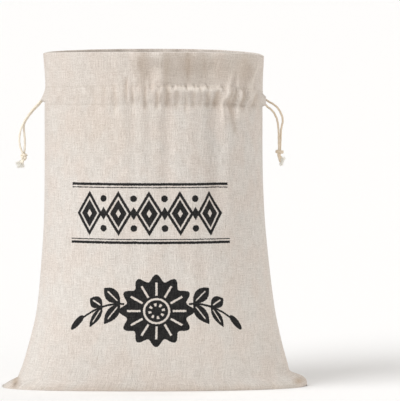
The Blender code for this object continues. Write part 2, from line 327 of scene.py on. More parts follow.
def smoothLine(points, step):
    knots = np.array(points, float)
    padded = np.vstack([2 * knots[0] - knots[1], knots, 2 * knots[-1] - knots[-2]])
    fine = []
    for k in range(1, len(padded) - 2):
        a, b, c, d = padded[k - 1 : k + 3]
        for t in np.linspace(0.0, 1.0, 16, endpoint=False):
            cubic = (3 * b - a - 3 * c + d) * t**3
            fine.append(0.5 * (2 * b + (c - a) * t + (2 * a - 5 * b + 4 * c - d) * t**2 + cubic))
    fine = np.array(fine + [knots[-1]])
    travelled = np.concatenate([[0.0], np.cumsum(np.linalg.norm(np.diff(fine, axis=0), axis=1))])
    even = np.linspace(0.0, travelled[-1], max(2, round(travelled[-1] / step) + 1))
    return np.stack([np.interp(even, travelled, fine[:, axis]) for axis in range(3)], axis=1)


def lineFrames(points):
    along = np.gradient(points, axis=0)
    along /= np.linalg.norm(along, axis=1, keepdims=True)
    side = np.cross(along[0], (0.0, 1.0, 0.0))
    sides = []
    for direction in along:
        side = side - direction * np.dot(side, direction)
        side /= np.linalg.norm(side)
        sides.append(side)
    sides = np.array(sides)
    return sides, np.cross(along, sides)


# A tube along a line, with a radius for each angle and length along it
def addTube(bm, points, radius, sides):
    across, deep = lineFrames(points)
    lengths = np.concatenate([[0.0], np.cumsum(np.linalg.norm(np.diff(points, axis=0), axis=1))])
    verts = []
    for vert, column, row in gridVerts(bm, sides + 1, len(points)):
        angle = 2 * math.pi * column / sides
        size = radius(angle, lengths[row])
        out = across[row] * math.cos(angle) + deep[row] * math.sin(angle)
        vert.co = points[row] + out * size
        verts.append(vert)
    bmesh.ops.remove_doubles(bm, verts=verts, dist=1e-7)
    kept = {vert for vert in verts if vert.is_valid}
    rim = [edge for edge in bm.edges if edge.is_boundary and edge.verts[0] in kept]
    bmesh.ops.holes_fill(bm, edges=rim, sides=0)


# Drawcords

cordValues = {
    "radius": 0.00109,
    "lobes": 3,
    "lobeDepth": 0.14,
    "pitch": 0.0056,
    "step": 0.0006,
    "sides": 18,
    "base": (0.965, 0.950, 0.890, 1.0),
    "shade": (0.78, 0.70, 0.57, 1.0),
    # painted shade: the darker, ochre tone for the cords on the right-hand side
    "rightShadeTone": (0.60, 0.43, 0.27, 1.0),
    "rightShadeShare": 0.42,
    "fibreTone": (0.985, 0.955, 0.880, 1.0),
    "fibre": 0.00019,
}

Tie = namedtuple("Tie", "name node exit length route")

ties = [
    Tie("leftFrontTie", "left_front_tie", (-0.1131, -0.0018, 0.2853), 0.0640, [
        (-0.1058, -0.0125, 0.2868),
        (-0.1073, -0.0062, 0.2874), (-0.1101, -0.0029, 0.2872), (-0.1131, -0.0018, 0.2853),
        (-0.1166, -0.0014, 0.2812), (-0.1199, -0.0013, 0.2779), (-0.1231, -0.0012, 0.2741),
        (-0.1256, -0.0012, 0.2708), (-0.1279, -0.0012, 0.2674), (-0.1299, -0.0012, 0.2640),
        (-0.1320, -0.0012, 0.2596), (-0.1335, -0.0012, 0.2555), (-0.1345, -0.0012, 0.2500),
        (-0.1347, -0.0012, 0.2445), (-0.1340, -0.0012, 0.2392), (-0.1322, -0.0012, 0.2346),
        (-0.1312, -0.0010, 0.2326),
    ]),
    Tie("leftBackTie", "left_back_tie", (-0.1128, 0.0018, 0.2839), 0.0590, [
        (-0.1058, 0.0125, 0.2868),
        (-0.1073, 0.0062, 0.2870), (-0.1099, 0.0029, 0.2862), (-0.1128, 0.0018, 0.2839),
        (-0.1161, 0.0014, 0.2800), (-0.1194, 0.0013, 0.2768), (-0.1226, 0.0012, 0.2731),
        (-0.1252, 0.0012, 0.2699), (-0.1275, 0.0012, 0.2665), (-0.1295, 0.0012, 0.2630),
        (-0.1304, 0.0012, 0.2590), (-0.1302, 0.0012, 0.2550), (-0.1297, 0.0012, 0.2503),
        (-0.1294, 0.0012, 0.2450), (-0.1294, 0.0012, 0.2396), (-0.1298, 0.0012, 0.2346),
        (-0.1301, 0.0010, 0.2326),
    ]),
    Tie("rightFrontTie", "right_front_tie", (0.1098, -0.0022, 0.2816), 0.0560, [
        (0.1038, -0.0128, 0.2888),
        (0.1054, -0.0062, 0.2872), (0.1077, -0.0034, 0.2848), (0.1098, -0.0022, 0.2816),
        (0.1120, -0.0019, 0.2790), (0.1150, -0.0016, 0.2768), (0.1179, -0.0014, 0.2738),
        (0.1201, -0.0013, 0.2700), (0.1217, -0.0013, 0.2660), (0.1225, -0.0013, 0.2617),
        (0.1230, -0.0013, 0.2572), (0.1233, -0.0013, 0.2527), (0.1233, -0.0013, 0.2480),
        (0.1234, -0.0013, 0.2432), (0.1236, -0.0014, 0.2370), (0.1238, -0.0014, 0.2348),
    ]),
    Tie("rightBackTie", "right_back_tie", (0.1108, 0.0020, 0.2857), 0.0580, [
        (0.1038, 0.0128, 0.2891),
        (0.1053, 0.0062, 0.2886), (0.1081, 0.0030, 0.2877), (0.1108, 0.0020, 0.2857),
        (0.1137, 0.0018, 0.2838), (0.1168, 0.0016, 0.2821), (0.1200, 0.0015, 0.2799),
        (0.1231, 0.0014, 0.2767), (0.1256, 0.0013, 0.2722), (0.1271, 0.0013, 0.2679),
        (0.1273, 0.0013, 0.2641), (0.1265, 0.0013, 0.2602), (0.1258, 0.0013, 0.2566),
        (0.1255, 0.0013, 0.2526), (0.1253, 0.0013, 0.2480), (0.1251, 0.0013, 0.2430),
        (0.1249, 0.0014, 0.2370), (0.1247, 0.0014, 0.2348),
    ]),
]


def cordMaterial(values):
    material, wires, shader = newMaterial("cotton_cord", {"Roughness": 0.86})
    x, y, z = objectAxes(wires)
    fuzz = wires.noise(x, y, 2600.0, 3.0, z)
    patches = wires.noise(x, y, 260.0, 2.0, z)
    shade = (fuzz * 0.5 + patches * 0.6 - 0.35).step(0.0, 0.8)
    colour = (1.0 - shade).blend(values["base"], values["shade"])
    # painted shade: the cords turn darker and more ochre towards the right, away from the key light
    colour = (x.step(0.02, 0.10) * values["rightShadeShare"]).blend(colour, values["rightShadeTone"])
    feed(shader, "Base Color", colour)
    feed(shader, "Normal", fuzz.bump(0.0002))
    shader.inputs["Sheen Weight"].default_value = 0.25
    return material


def fibreMaterial(values):
    material, wires, shader = newMaterial("cotton_fibre", {"Roughness": 0.9})
    x, y, z = objectAxes(wires)
    patches = wires.noise(x, y, 700.0, 2.0, z)
    feed(shader, "Base Color", patches.step(0.3, 0.7).blend(values["base"], values["fibreTone"]))
    return material


def lobedRadius(values):
    def radius(angle, length):
        turn = values["lobes"] * angle - 2 * math.pi * length / values["pitch"]
        return values["radius"] * (1 - values["lobeDepth"] * (0.5 - 0.5 * math.cos(turn)))
    return radius


def makeTie(tie, values, material):
    points = smoothLine(tie.route, values["step"])
    bm = bmesh.new()
    addTube(bm, points, lobedRadius(values), values["sides"])
    return finishMesh(tie.name, bm, material), points[::6]


def addFibres(bm, root, ends, count, spread, thickness, rng):
    strands = set(bm.faces)
    for k in range(count):
        a, b = ends
        end = np.array(a) + (np.array(b) - np.array(a)) * (k + rng.uniform(0, 1)) / count
        end = end + rng.normal(0, spread, 3) * (1.0, 0.8, 1.0)
        start = np.array(root) + rng.normal(0, 0.0006, 3)
        bow = (start + end) / 2 + rng.normal(0, spread * 0.7, 3)
        line = smoothLine([start, bow, end], 0.0011)
        addTube(bm, line, lambda angle, length: thickness, 3)
    for face in bm.faces:
        if face not in strands:
            face.material_index = 1


def addStrand(bm, route, values, scale):
    points = smoothLine(route, values["step"])
    shape = lobedRadius(values)
    addTube(bm, points, lambda angle, length: shape(angle, length) * scale, values["sides"])


def trefoil(centre, size, turn):
    points = []
    for t in np.linspace(0.0, 2 * math.pi * 0.94, 30):
        ring = 2 + math.cos(3 * t)
        x, y, z = ring * math.cos(2 * t + turn), ring * math.sin(2 * t + turn), math.sin(3 * t)
        points.append((centre[0] + x * size[0], centre[1] + z * size[1], centre[2] + y * size[2]))
    return points


def makeLeftKnot(values, material, fluff):
    rng = np.random.default_rng(4)
    bm = bmesh.new()
    addStrand(bm, trefoil((-0.1302, 0.0, 0.2292), (0.00094, 0.0014, 0.00098), 0.4), values, 1.16)
    addStrand(bm, [(-0.1308, 0.0012, 0.2278), (-0.1322, 0.0002, 0.2252), (-0.1338, -0.0004, 0.2232)],
              values, 1.1)
    addStrand(bm, [(-0.1300, -0.0010, 0.2274), (-0.1313, -0.0006, 0.2249), (-0.1324, 0.0, 0.2224)],
              values, 1.1)
    addFibres(bm, (-0.1331, 0.0, 0.2250), ((-0.1392, 0.0, 0.2236), (-0.1364, 0.0, 0.2182)),
              40, 0.0007, values["fibre"], rng)
    addFibres(bm, (-0.1318, 0.0, 0.2246), ((-0.1366, 0.0, 0.2182), (-0.1296, 0.0, 0.2188)),
              46, 0.0007, values["fibre"], rng)
    return finishMesh("leftKnot", bm, material, fluff)


def makeRightKnot(values, material, fluff):
    rng = np.random.default_rng(9)
    bm = bmesh.new()
    ring = []
    for t in np.linspace(0.0, 2 * math.pi * 1.8, 34):
        drop = 0.0010 * t / (2 * math.pi)
        ring.append((0.1242 + 0.0030 * math.cos(t + 2.2), 0.0022 * math.sin(t + 2.2), 0.2350 - drop))
    addStrand(bm, ring, values, 1.16)
    addStrand(bm, [(0.1236, -0.0004, 0.2336), (0.1232, -0.0004, 0.2308), (0.1240, -0.0003, 0.2272),
                   (0.1252, 0.0, 0.2242)], values, 1.16)
    addStrand(bm, [(0.1248, 0.0006, 0.2336), (0.1244, 0.0008, 0.2306), (0.1252, 0.0006, 0.2288),
                   (0.1264, 0.0004, 0.2278)], values, 1.0)
    addFibres(bm, (0.1248, 0.0, 0.2252), ((0.1244, 0.0, 0.2204), (0.1280, 0.0, 0.2210)),
              40, 0.0005, values["fibre"], rng)
    addFibres(bm, (0.1254, 0.0004, 0.2284), ((0.1298, 0.0, 0.2284), (0.1276, 0.0, 0.2226)),
              36, 0.0006, values["fibre"], rng)
    return finishMesh("rightKnot", bm, material, fluff)


cotton, fluff = cordMaterial(cordValues), fibreMaterial(cordValues)
knots = {
    "left": (makeLeftKnot(cordValues, cotton, fluff), "left_knot"),
    "right": (makeRightKnot(cordValues, cotton, fluff), "right_knot"),
}
for piece, node in knots.values():
    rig.replaces(piece, node)
    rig.slot(piece, "cotton_cord")
for tie in ties:
    piece, path = makeTie(tie, cordValues, cotton)
    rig.replaces(piece, tie.node)
    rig.slot(piece, "cotton_cord")
    knot = knots["left" if tie.route[0][0] < 0 else "right"][0]
    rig.cord(piece, exit=tie.exit, length=tie.length + 0.012, diameter=0.0021, far_end="knot",
            stiffness="limp", lay="hanging", path=path, with_pieces=[knot])
print("drawcords made")


# The bag's form: the same levels as the solids, read smoothly between them

Level = namedtuple(
    "Level", "middle left right reachLeft reachRight depth bluntLeft bluntRight late"
)

levels = [
    Level(0.0000, 0.0006, 0.0034, 0.1525, 0.1523, 0.0460, 3.20, 2.10, 24),
    Level(0.0028, 0.0024, 0.0066, 0.1490, 0.1517, 0.0476, 3.10, 2.10, 14),
    Level(0.0060, 0.0050, 0.0100, 0.1442, 0.1478, 0.0490, 2.95, 2.10, 11),
    Level(0.0086, 0.0076, 0.0122, 0.1394, 0.1424, 0.0502, 2.80, 2.10, 9),
    Level(0.0100, 0.0089, 0.0131, 0.1371, 0.1398, 0.0507, 2.70, 2.10, 8),
    Level(0.0118, 0.0105, 0.0143, 0.1365, 0.1368, 0.0514, 2.65, 2.10, 7.2),
    Level(0.0135, 0.0121, 0.0157, 0.1359, 0.1347, 0.0521, 2.60, 2.10, 6.6),
    Level(0.0220, 0.0205, 0.0225, 0.1326, 0.1328, 0.0550, 2.40, 2.10, 4),
    Level(0.0450, 0.0435, 0.0435, 0.1258, 0.1270, 0.0625, 2.22, 2.10, 2.5),
    Level(0.0800, 0.0785, 0.0785, 0.1176, 0.1197, 0.0718, 2.15, 2.10, 2.5),
    Level(0.1250, 0.1235, 0.1235, 0.1131, 0.1139, 0.0782, 2.10, 2.10, 2.5),
    Level(0.1800, 0.1780, 0.1780, 0.1099, 0.1090, 0.0815, 2.08, 2.08, 2.5),
    Level(0.2350, 0.2325, 0.2310, 0.1093, 0.1072, 0.0806, 2.05, 2.05, 2.5),
    Level(0.2680, 0.2655, 0.2630, 0.1090, 0.1070, 0.0776, 2.05, 2.05, 2.5),
    Level(0.2840, 0.2812, 0.2785, 0.1085, 0.1068, 0.0756, 2.05, 2.05, 2.5),
    Level(0.3020, 0.2985, 0.2925, 0.1076, 0.1070, 0.0744, 2.05, 2.05, 2.5),
    Level(0.3130, 0.3095, 0.3050, 0.1084, 0.1073, 0.0750, 2.00, 2.00, 2.5),
    Level(0.3240, 0.3210, 0.3175, 0.1096, 0.1080, 0.0768, 1.95, 1.95, 2.5),
    Level(0.3338, 0.3312, 0.3282, 0.1105, 0.1086, 0.0782, 1.90, 1.90, 2.5),
]

bagValues = {
    "cloth": 0.0008,
    "layerGap": 0.0004,
    "solidCloth": 0.0010,
    "seamCut": 0.00015,
    "lowerStitch": 0.2840,
    "upperStitch": 0.3020,
    "rim": 0.3338,
    "tunnel": 0.0050,
    "tunnelFullness": 0.6,
    "halfBase": 0.0445,
    "channelCut": 0.0044,
    "puffAbove": 0.0010,
    "scallops": ((0.0012, 500.0, 1.1), (0.0008, 880.0, 0.4), (0.0005, 1430.0, 2.0)),
    "facingHem": 0.0055,
    "seamPinch": 0.0005,
    "seamPinchWidth": 0.0018,
    "grooveWidth": 0.0015,
    "heading": (0.3320, 0.3180, 0.3055),
    "headingFade": 0.0230,
    "headingSoftness": 0.0025,
    "rimDepth": 0.85,
    "rimLean": 0.0056,
    "stitchDepth": 0.80,
    "tuck": 0.0050,
    "clothWidth": 0.150,
    "columns": {"front": (243, -0.40, -0.22), "back": (236, 0.0, 0.0)},
}


# Cubic reading of a table with no overshoot between its rows
def steady(known, values, wanted):
    known, values = np.asarray(known, float), np.asarray(values, float)
    widths = np.diff(known)
    slopes = np.diff(values) / widths
    tangents = np.zeros_like(values)
    tangents[0], tangents[-1] = slopes[0], slopes[-1]
    for k in range(1, len(values) - 1):
        if slopes[k - 1] * slopes[k] > 0:
            w1, w2 = 2 * widths[k] + widths[k - 1], widths[k] + 2 * widths[k - 1]
            tangents[k] = (w1 + w2) / (w1 / slopes[k - 1] + w2 / slopes[k])
    index = np.clip(np.searchsorted(known, wanted) - 1, 0, len(widths) - 1)
    t = (wanted - known[index]) / widths[index]
    rise = widths[index]
    low = (1 + 2 * t) * (1 - t) ** 2 * values[index] + t * (1 - t) ** 2 * rise * tangents[index]
    high = t**2 * (3 - 2 * t) * values[index + 1] + t**2 * (t - 1) * rise * tangents[index + 1]
    return low + high


def levelAt(height):
    knots = np.sqrt([level.middle for level in levels])
    at = np.sqrt(np.clip(height, 0.0, levels[-1].middle))
    return Level(*(float(steady(knots, [level[k] for level in levels], np.array(at)))
                   for k in range(len(levels[0]))))


def sectionCurve(level, samples=361):
    angle = np.linspace(-math.pi / 2, math.pi / 2, samples)
    power = 2.0 / np.where(angle < 0, level.bluntLeft, level.bluntRight)
    reach = np.where(angle < 0, level.reachLeft, level.reachRight)
    x = reach * np.sign(np.sin(angle)) * np.abs(np.sin(angle)) ** power
    y = -level.depth * np.abs(np.cos(angle)) ** power
    travelled = np.concatenate([[0.0], np.cumsum(np.hypot(np.diff(x), np.diff(y)))])
    even = np.linspace(0.0, travelled[-1], samples)
    x, y = np.interp(even, travelled, x), np.interp(even, travelled, y)
    alongX, alongY = np.gradient(x), np.gradient(y)
    size = np.hypot(alongX, alongY)
    return travelled[-1], x, y, alongY / size, -alongX / size


# Rows of a panel: floor, wall, channel, heading, rim, then the facing down inside

Row = namedtuple("Row", "height travel behind lift drop share floor")


def panelRows(values):
    double = 2 * values["solidCloth"] + values["layerGap"]
    low, high, rim = values["lowerStitch"], values["upperStitch"], values["rim"]
    rows = []

    def add(height, travel=None, behind=0.0, lift=0.0, drop=0.0, share=0.0, floor=1.0):
        travel = height if travel is None else travel
        rows.append(Row(height, travel, behind, lift, drop, share, floor))

    for part in (0.0, 0.3, 0.6, 0.8, 0.92):
        add(0.0, floor=part, travel=-values["halfBase"] * (1 - part))
    wall = [0.0, 0.0002, 0.0007, 0.0015, 0.0026, 0.0041, 0.0060, 0.0075, 0.0086, 0.0094]
    wall += [0.0100, 0.0109, 0.0118, 0.0127, 0.0135, 0.0148]
    wall += list(np.linspace(0.0165, 0.050, 14)) + list(np.linspace(0.0530, 0.236, 46))
    wall += list(np.linspace(0.2385, low, 38))
    for height in wall:
        add(height)
    for share in np.linspace(0.0, 1.0, 23)[1:-1]:
        add(low + (high - low) * share, share=share)
    for height in np.linspace(high, rim, 28):
        add(height)
    for turn in np.linspace(0.0, math.pi, 8)[1:]:
        add(rim, behind=(1 - math.cos(turn)) / 2 * double, lift=math.sin(turn) / 2 * double,
            travel=rim + turn * double / 2)
    over = 2 * rim + math.pi * double / 2
    for height in np.linspace(rim, high, 15)[1:]:
        add(height, behind=double, travel=over - height)
    for share in np.linspace(1.0, 0.0, 12)[1:-1]:
        height = low + (high - low) * share
        fullness = math.sin(math.pi * share) ** values["tunnelFullness"]
        behind = double + values["tunnel"] * fullness
        add(height, behind=behind, share=share, travel=over - height)
    for drop in (0.0, 0.002, 0.004, values["facingHem"]):
        add(low, behind=double, travel=over - low + drop, drop=drop)
    return rows


# Folds across the heading: how far the cloth stands back, and how far its rim leans out

HeadingFold = namedtuple("HeadingFold", "x depth lean")

frontHeading = [
    HeadingFold(-0.1065, 0.0000, 0.0), HeadingFold(-0.0640, -0.0008, 0.1),
    HeadingFold(-0.0454, -0.0002, 0.1), HeadingFold(-0.0357, -0.0004, 0.1),
    HeadingFold(-0.0310, 0.0004, 0.1), HeadingFold(-0.0279, 0.0003, 0.2),
    HeadingFold(-0.0240, -0.0010, 0.2), HeadingFold(-0.0195, -0.0015, 0.3),
    HeadingFold(-0.0150, 0.0000, 0.6), HeadingFold(-0.0100, 0.0024, 0.9),
    HeadingFold(-0.0060, 0.0040, 1.0), HeadingFold(-0.0020, 0.0044, 1.0),
    HeadingFold(0.0020, 0.0030, 1.0), HeadingFold(0.0058, 0.0010, 1.0),
    HeadingFold(0.0088, 0.0000, 1.0), HeadingFold(0.0120, 0.0014, 1.0),
    HeadingFold(0.0160, 0.0032, 1.0), HeadingFold(0.0205, 0.0040, 1.0),
    HeadingFold(0.0245, 0.0050, 1.0), HeadingFold(0.0285, 0.0054, 1.0),
    HeadingFold(0.0320, 0.0072, 1.0), HeadingFold(0.0355, 0.0090, 1.0),
    HeadingFold(0.0395, 0.0082, 1.0), HeadingFold(0.0430, 0.0074, 1.0),
    HeadingFold(0.0475, 0.0086, 1.0), HeadingFold(0.0515, 0.0092, 1.0),
    HeadingFold(0.0560, 0.0088, 1.0), HeadingFold(0.0610, 0.0068, 1.0),
    HeadingFold(0.0660, 0.0046, 1.0), HeadingFold(0.0710, 0.0040, 1.0),
    HeadingFold(0.0755, 0.0028, 1.0), HeadingFold(0.0800, 0.0030, 1.0),
    HeadingFold(0.0850, 0.0038, 1.0), HeadingFold(0.0900, 0.0052, 0.9),
    HeadingFold(0.0945, 0.0052, 0.8), HeadingFold(0.0990, 0.0034, 0.6),
    HeadingFold(0.1030, 0.0016, 0.3), HeadingFold(0.1066, 0.0000, 0.0),
]

backHeading = [
    HeadingFold(-0.1065, 0.0000, 0.0), HeadingFold(-0.0900, -0.0004, 0.3),
    HeadingFold(-0.0780, 0.0024, 0.5), HeadingFold(-0.0660, 0.0002, 0.5),
    HeadingFold(-0.0540, -0.0008, 0.6), HeadingFold(-0.0430, 0.0032, 0.7),
    HeadingFold(-0.0330, 0.0000, 0.7), HeadingFold(-0.0200, 0.0042, 0.7),
    HeadingFold(-0.0090, -0.0002, 0.7), HeadingFold(0.0040, -0.0006, 0.7),
    HeadingFold(0.0150, 0.0046, 0.7), HeadingFold(0.0280, 0.0002, 0.7),
    HeadingFold(0.0390, -0.0006, 0.7), HeadingFold(0.0500, 0.0038, 0.7),
    HeadingFold(0.0640, 0.0000, 0.6), HeadingFold(0.0760, 0.0028, 0.5),
    HeadingFold(0.0900, 0.0000, 0.3), HeadingFold(0.1066, 0.0000, 0.0),
]

# Broad folds that run down from the channel; place, drift and half width are along the cloth

Fold = namedtuple("Fold", "place drift halfWidth depth foot top")

mainFolds = {
    "front": [
        Fold(-0.0030, 0.000, 0.0120, 0.0016, 0.170, 0.302),
        Fold(0.0130, 0.000, 0.0150, 0.0024, 0.160, 0.302),
        Fold(0.0640, 0.000, 0.0160, 0.0040, 0.140, 0.302),
        Fold(-0.0420, 0.000, 0.0120, 0.0008, 0.180, 0.304),
        Fold(-0.0930, 0.002, 0.0100, 0.0008, 0.200, 0.300),
        Fold(0.1090, 0.002, 0.0100, 0.0010, 0.230, 0.300),
    ],
    "back": [
        Fold(-0.0980, 0.000, 0.0120, 0.0016, 0.220, 0.302),
        Fold(-0.0520, 0.000, 0.0150, 0.0020, 0.170, 0.302),
        Fold(0.0060, 0.000, 0.0140, 0.0018, 0.180, 0.302),
        Fold(0.0620, 0.000, 0.0150, 0.0020, 0.160, 0.302),
        Fold(0.1060, 0.000, 0.0100, 0.0012, 0.210, 0.302),
    ],
}

# Puckers of the channel: a positive rise is a ridge, and the path gives places and heights

Crease = namedtuple("Crease", "halfWidth rise path")

frontCreases = [
    Crease(0.0024, -0.0003, [(-0.0741, 0.305), (-0.0743, 0.272)]),
    Crease(0.0026, -0.0005, [(-0.0585, 0.304), (-0.0588, 0.274)]),
    Crease(0.0022, -0.0006, [(-0.0485, 0.306), (-0.0486, 0.275)]),
    Crease(0.0024, -0.0009, [(-0.0378, 0.309), (-0.0382, 0.272)]),
    Crease(0.0021, -0.0010, [(-0.0264, 0.315), (-0.0261, 0.281)]),
    Crease(0.0016, 0.0006, [(-0.0238, 0.311), (-0.0236, 0.284)]),
    Crease(0.0019, -0.0010, [(-0.0204, 0.306), (-0.0200, 0.281)]),
    Crease(0.0015, 0.0007, [(-0.0180, 0.312), (-0.0178, 0.278)]),
    Crease(0.0023, -0.0012, [(-0.0076, 0.304), (-0.0074, 0.275)]),
    Crease(0.0016, 0.0008, [(-0.0058, 0.312), (-0.0056, 0.280)]),
    Crease(0.0022, -0.0014, [(0.0034, 0.300), (0.0034, 0.276)]),
    Crease(0.0014, 0.0006, [(0.0008, 0.311), (0.0010, 0.294)]),
    Crease(0.0023, -0.0015, [(0.0134, 0.307), (0.0136, 0.279)]),
    Crease(0.0022, -0.0011, [(0.0226, 0.300), (0.0229, 0.277)]),
    Crease(0.0019, -0.0009, [(0.0319, 0.298), (0.0323, 0.274)]),
    Crease(0.0022, -0.0009, [(0.0391, 0.300), (0.0396, 0.278)]),
    Crease(0.0018, -0.0006, [(0.0463, 0.303), (0.0469, 0.279)]),
    Crease(0.0022, -0.0014, [(0.0536, 0.300), (0.0543, 0.279)]),
    Crease(0.0026, -0.0018, [(0.0626, 0.301), (0.0634, 0.279)]),
    Crease(0.0022, -0.0013, [(0.0758, 0.303), (0.0742, 0.282)]),
    Crease(0.0017, 0.0015, [(0.0799, 0.325), (0.0762, 0.311), (0.0730, 0.3035), (0.0722, 0.2976),
                            (0.0678, 0.288), (0.0676, 0.283), (0.0690, 0.256)]),
    Crease(0.0028, -0.0016, [(0.0742, 0.291), (0.0812, 0.250)]),
    Crease(0.0022, -0.0018, [(0.0806, 0.304), (0.0784, 0.279)]),
    Crease(0.0016, 0.0020, [(0.0836, 0.322), (0.0822, 0.305), (0.0842, 0.2985), (0.0810, 0.288),
                            (0.0828, 0.264)]),
    Crease(0.0024, -0.0015, [(0.0898, 0.304), (0.0874, 0.278)]),
    Crease(0.0016, 0.0018, [(0.0950, 0.314), (0.0942, 0.305), (0.0948, 0.297), (0.0905, 0.287),
                            (0.0900, 0.276)]),
    Crease(0.0016, 0.0022, [(0.1035, 0.329), (0.0996, 0.3165), (0.0964, 0.306), (0.0982, 0.298),
                            (0.0936, 0.288)]),
    Crease(0.0022, -0.0017, [(0.1008, 0.302), (0.0990, 0.280)]),
]


def backCreases():
    rng = np.random.default_rng(21)
    creases = []
    place = -0.094
    while place < 0.094:
        top, foot = rng.uniform(0.298, 0.314), rng.uniform(0.268, 0.282)
        shift = rng.uniform(-0.001, 0.001)
        creases.append(Crease(rng.uniform(0.0018, 0.0026), -rng.uniform(0.0008, 0.0017),
                              [(place, top), (place + shift, foot)]))
        if rng.uniform() < 0.5:
            creases.append(Crease(0.0016, rng.uniform(0.0005, 0.0010),
                                  [(place + 0.003, top + 0.004), (place + 0.003 + shift, foot)]))
        place += rng.uniform(0.0070, 0.0110)
    return creases


# How far the channel puffs out and its stitches sink, from one side seam to the other

ChannelPlace = namedtuple("ChannelPlace", "x puff groove skew tuck")

channelPlaces = {
    "front": [
        ChannelPlace(-0.107, 0.0003, 0.0000, 1.1, 0.0000),
        ChannelPlace(-0.050, 0.0005, 0.0001, 1.2, 0.0002),
        ChannelPlace(-0.025, 0.0014, 0.0001, 1.3, 0.0006),
        ChannelPlace(0.000, 0.0028, 0.0001, 1.6, 0.0012),
        ChannelPlace(0.022, 0.0054, 0.0002, 2.3, 0.0018),
        ChannelPlace(0.058, 0.0056, 0.0002, 2.3, 0.0020),
        ChannelPlace(0.072, 0.0036, 0.0001, 1.6, 0.0020),
        ChannelPlace(0.107, 0.0022, 0.0000, 1.3, 0.0010),
    ],
    "back": [
        ChannelPlace(-0.107, 0.0010, 0.0001, 1.2, 0.0002),
        ChannelPlace(-0.060, 0.0032, 0.0002, 1.7, 0.0014),
        ChannelPlace(0.060, 0.0034, 0.0002, 1.7, 0.0014),
        ChannelPlace(0.107, 0.0010, 0.0001, 1.2, 0.0002),
    ],
}


def foldDepth(folds, place, height):
    total = np.zeros_like(place)
    for fold in folds:
        rise = (height - 0.284) / 0.050
        near = np.clip(np.abs(place - fold.place - fold.drift * rise) / fold.halfWidth, 0.0, 1.0)
        up = np.clip((height - fold.foot) / 0.070, 0.0, 1.0)
        down = np.clip((fold.top - height) / 0.020, 0.0, 1.0)
        soft = up * up * (3 - 2 * up) * down * down * (3 - 2 * down)
        total += fold.depth * 0.5 * (1.0 + np.cos(math.pi * near)) * soft
    return total


def headingDepth(table, x, height, values):
    places = [row.x for row in table]
    spread = [x + step * values["headingSoftness"] for step in (-1.0, -0.5, 0.0, 0.5, 1.0)]
    spread = np.clip(spread, places[0], places[-1])
    middle, lean = (np.mean([steady(places, [row[k] for row in table], at) for at in spread], axis=0)
                    for k in (1, 2))
    rim = middle * values["rimDepth"] - lean * values["rimLean"]
    low = middle * values["stitchDepth"]
    top, mid, foot = values["heading"]
    share = np.clip((height - foot) / (mid - foot), 0.0, 1.0)
    upper = np.clip((height - mid) / (top - mid), 0.0, 1.0)
    depth = low + (middle - low) * share * share * (3 - 2 * share)
    depth += (rim - middle) * upper * upper * (3 - 2 * upper)
    fade = np.clip((height - foot + values["headingFade"]) / values["headingFade"], 0.0, 1.0)
    return depth * fade * fade * (3 - 2 * fade)


def creaseRise(creases, x, height):
    total = np.zeros_like(x)
    for crease in creases:
        path = sorted(crease.path, key=lambda point: point[1])
        spots, heights = zip(*path)
        middle = np.interp(height, heights, spots)
        share = np.clip((height - heights[0]) / (heights[-1] - heights[0]), 0.0, 1.0)
        ends = np.clip(3.6 * np.minimum(share, 1.0 - share), 0.0, 1.0)
        ends = ends * ends * (3 - 2 * ends)
        total += 1.5 * crease.rise * np.exp(-(((x - middle) / crease.halfWidth) ** 2)) * ends
    return total


# Slight waves of the cloth that no fold names
def softWaves(x, height, seed):
    rng = np.random.default_rng(seed)
    total = np.zeros_like(x)
    for size, low, high, count in (
        (0.00045, 40, 90, 5), (0.00026, 110, 190, 6), (0.00015, 260, 420, 6),
    ):
        for _ in range(count):
            wave, phase, lean = rng.uniform(low, high), rng.uniform(0, 6.28), rng.uniform(-8, 8)
            drift = rng.uniform(-14, 14)
            total += size * np.sin(wave * x + phase + lean * height * 2 + np.sin(drift * height))
    gathered = np.exp(-((height - 0.293) / 0.030) ** 2)
    calm = np.clip(height / 0.24, 0.0, 1.0)
    return total * (0.2 + 0.4 * calm + 0.7 * gathered)


earValues = {
    "reach": 0.020,
    "leftCrease": (-0.1375, 0.0030, 0.0090, 0.016),
    "dimple": (0.1440, 0.0064, 0.0050, 0.0032, 0.0050),
    "flatFrom": (-0.1270, 0.1290),
    "flatOver": 0.010,
    "flatTop": (0.0095, 0.0200),
    "flat": 0.72,
}


# The crease where an ear leaves the bag, and the dent in the right ear
def earRelief(x, z, values):
    place, width, depth, top = values["leftCrease"]
    fade = np.clip((top - z) / top, 0.0, 1.0)
    total = depth * np.exp(-(((x - place) / width) ** 2)) * fade
    place, height, wide, tall, depth = values["dimple"]
    total += depth * np.exp(-(((x - place) / wide) ** 2) - ((z - height) / tall) ** 2)
    return total


# How much flatter the ears lie behind than in front
def earFlat(x, z, values):
    left, right = values["flatFrom"]
    low, high = values["flatTop"]
    across = np.clip(np.maximum(left - x, x - right) / values["flatOver"], 0.0, 1.0)
    up = np.clip((high - z) / (high - low), 0.0, 1.0)
    return values["flat"] * across * across * (3 - 2 * across) * up * up * (3 - 2 * up)


spoutValues = {
    "left": (0.10, 0.25, 0.27, 1.00, 0.0050),
    "right": (0.03, 0.15, 0.72, 0.92, 0.0038),
    "width": 0.0828,
}


# How far the ends of the channel are drawn out by the cords
def spout(shares, channelShare, values):
    pulls = np.zeros_like(shares)
    if channelShare == 0.0:
        return pulls
    for side, sign in (("left", -1), ("right", 1)):
        rise, full, fall, end, size = values[side]
        pull = np.interp(channelShare, (rise, full, fall, end), (0.0, 1.0, 1.0, 0.0))
        gap = (1.0 - shares * sign) / values["width"]
        pulls += sign * size * pull * np.exp(-gap * gap)
    return pulls


sections = {}


def sectionAt(height):
    key = round(height, 7)
    if key not in sections:
        level = levelAt(height)
        sections[key] = (level, *sectionCurve(level))
    return sections[key]


relief = {
    "front": (frontHeading, frontCreases, 3),
    "back": (backHeading, backCreases(), 8),
}


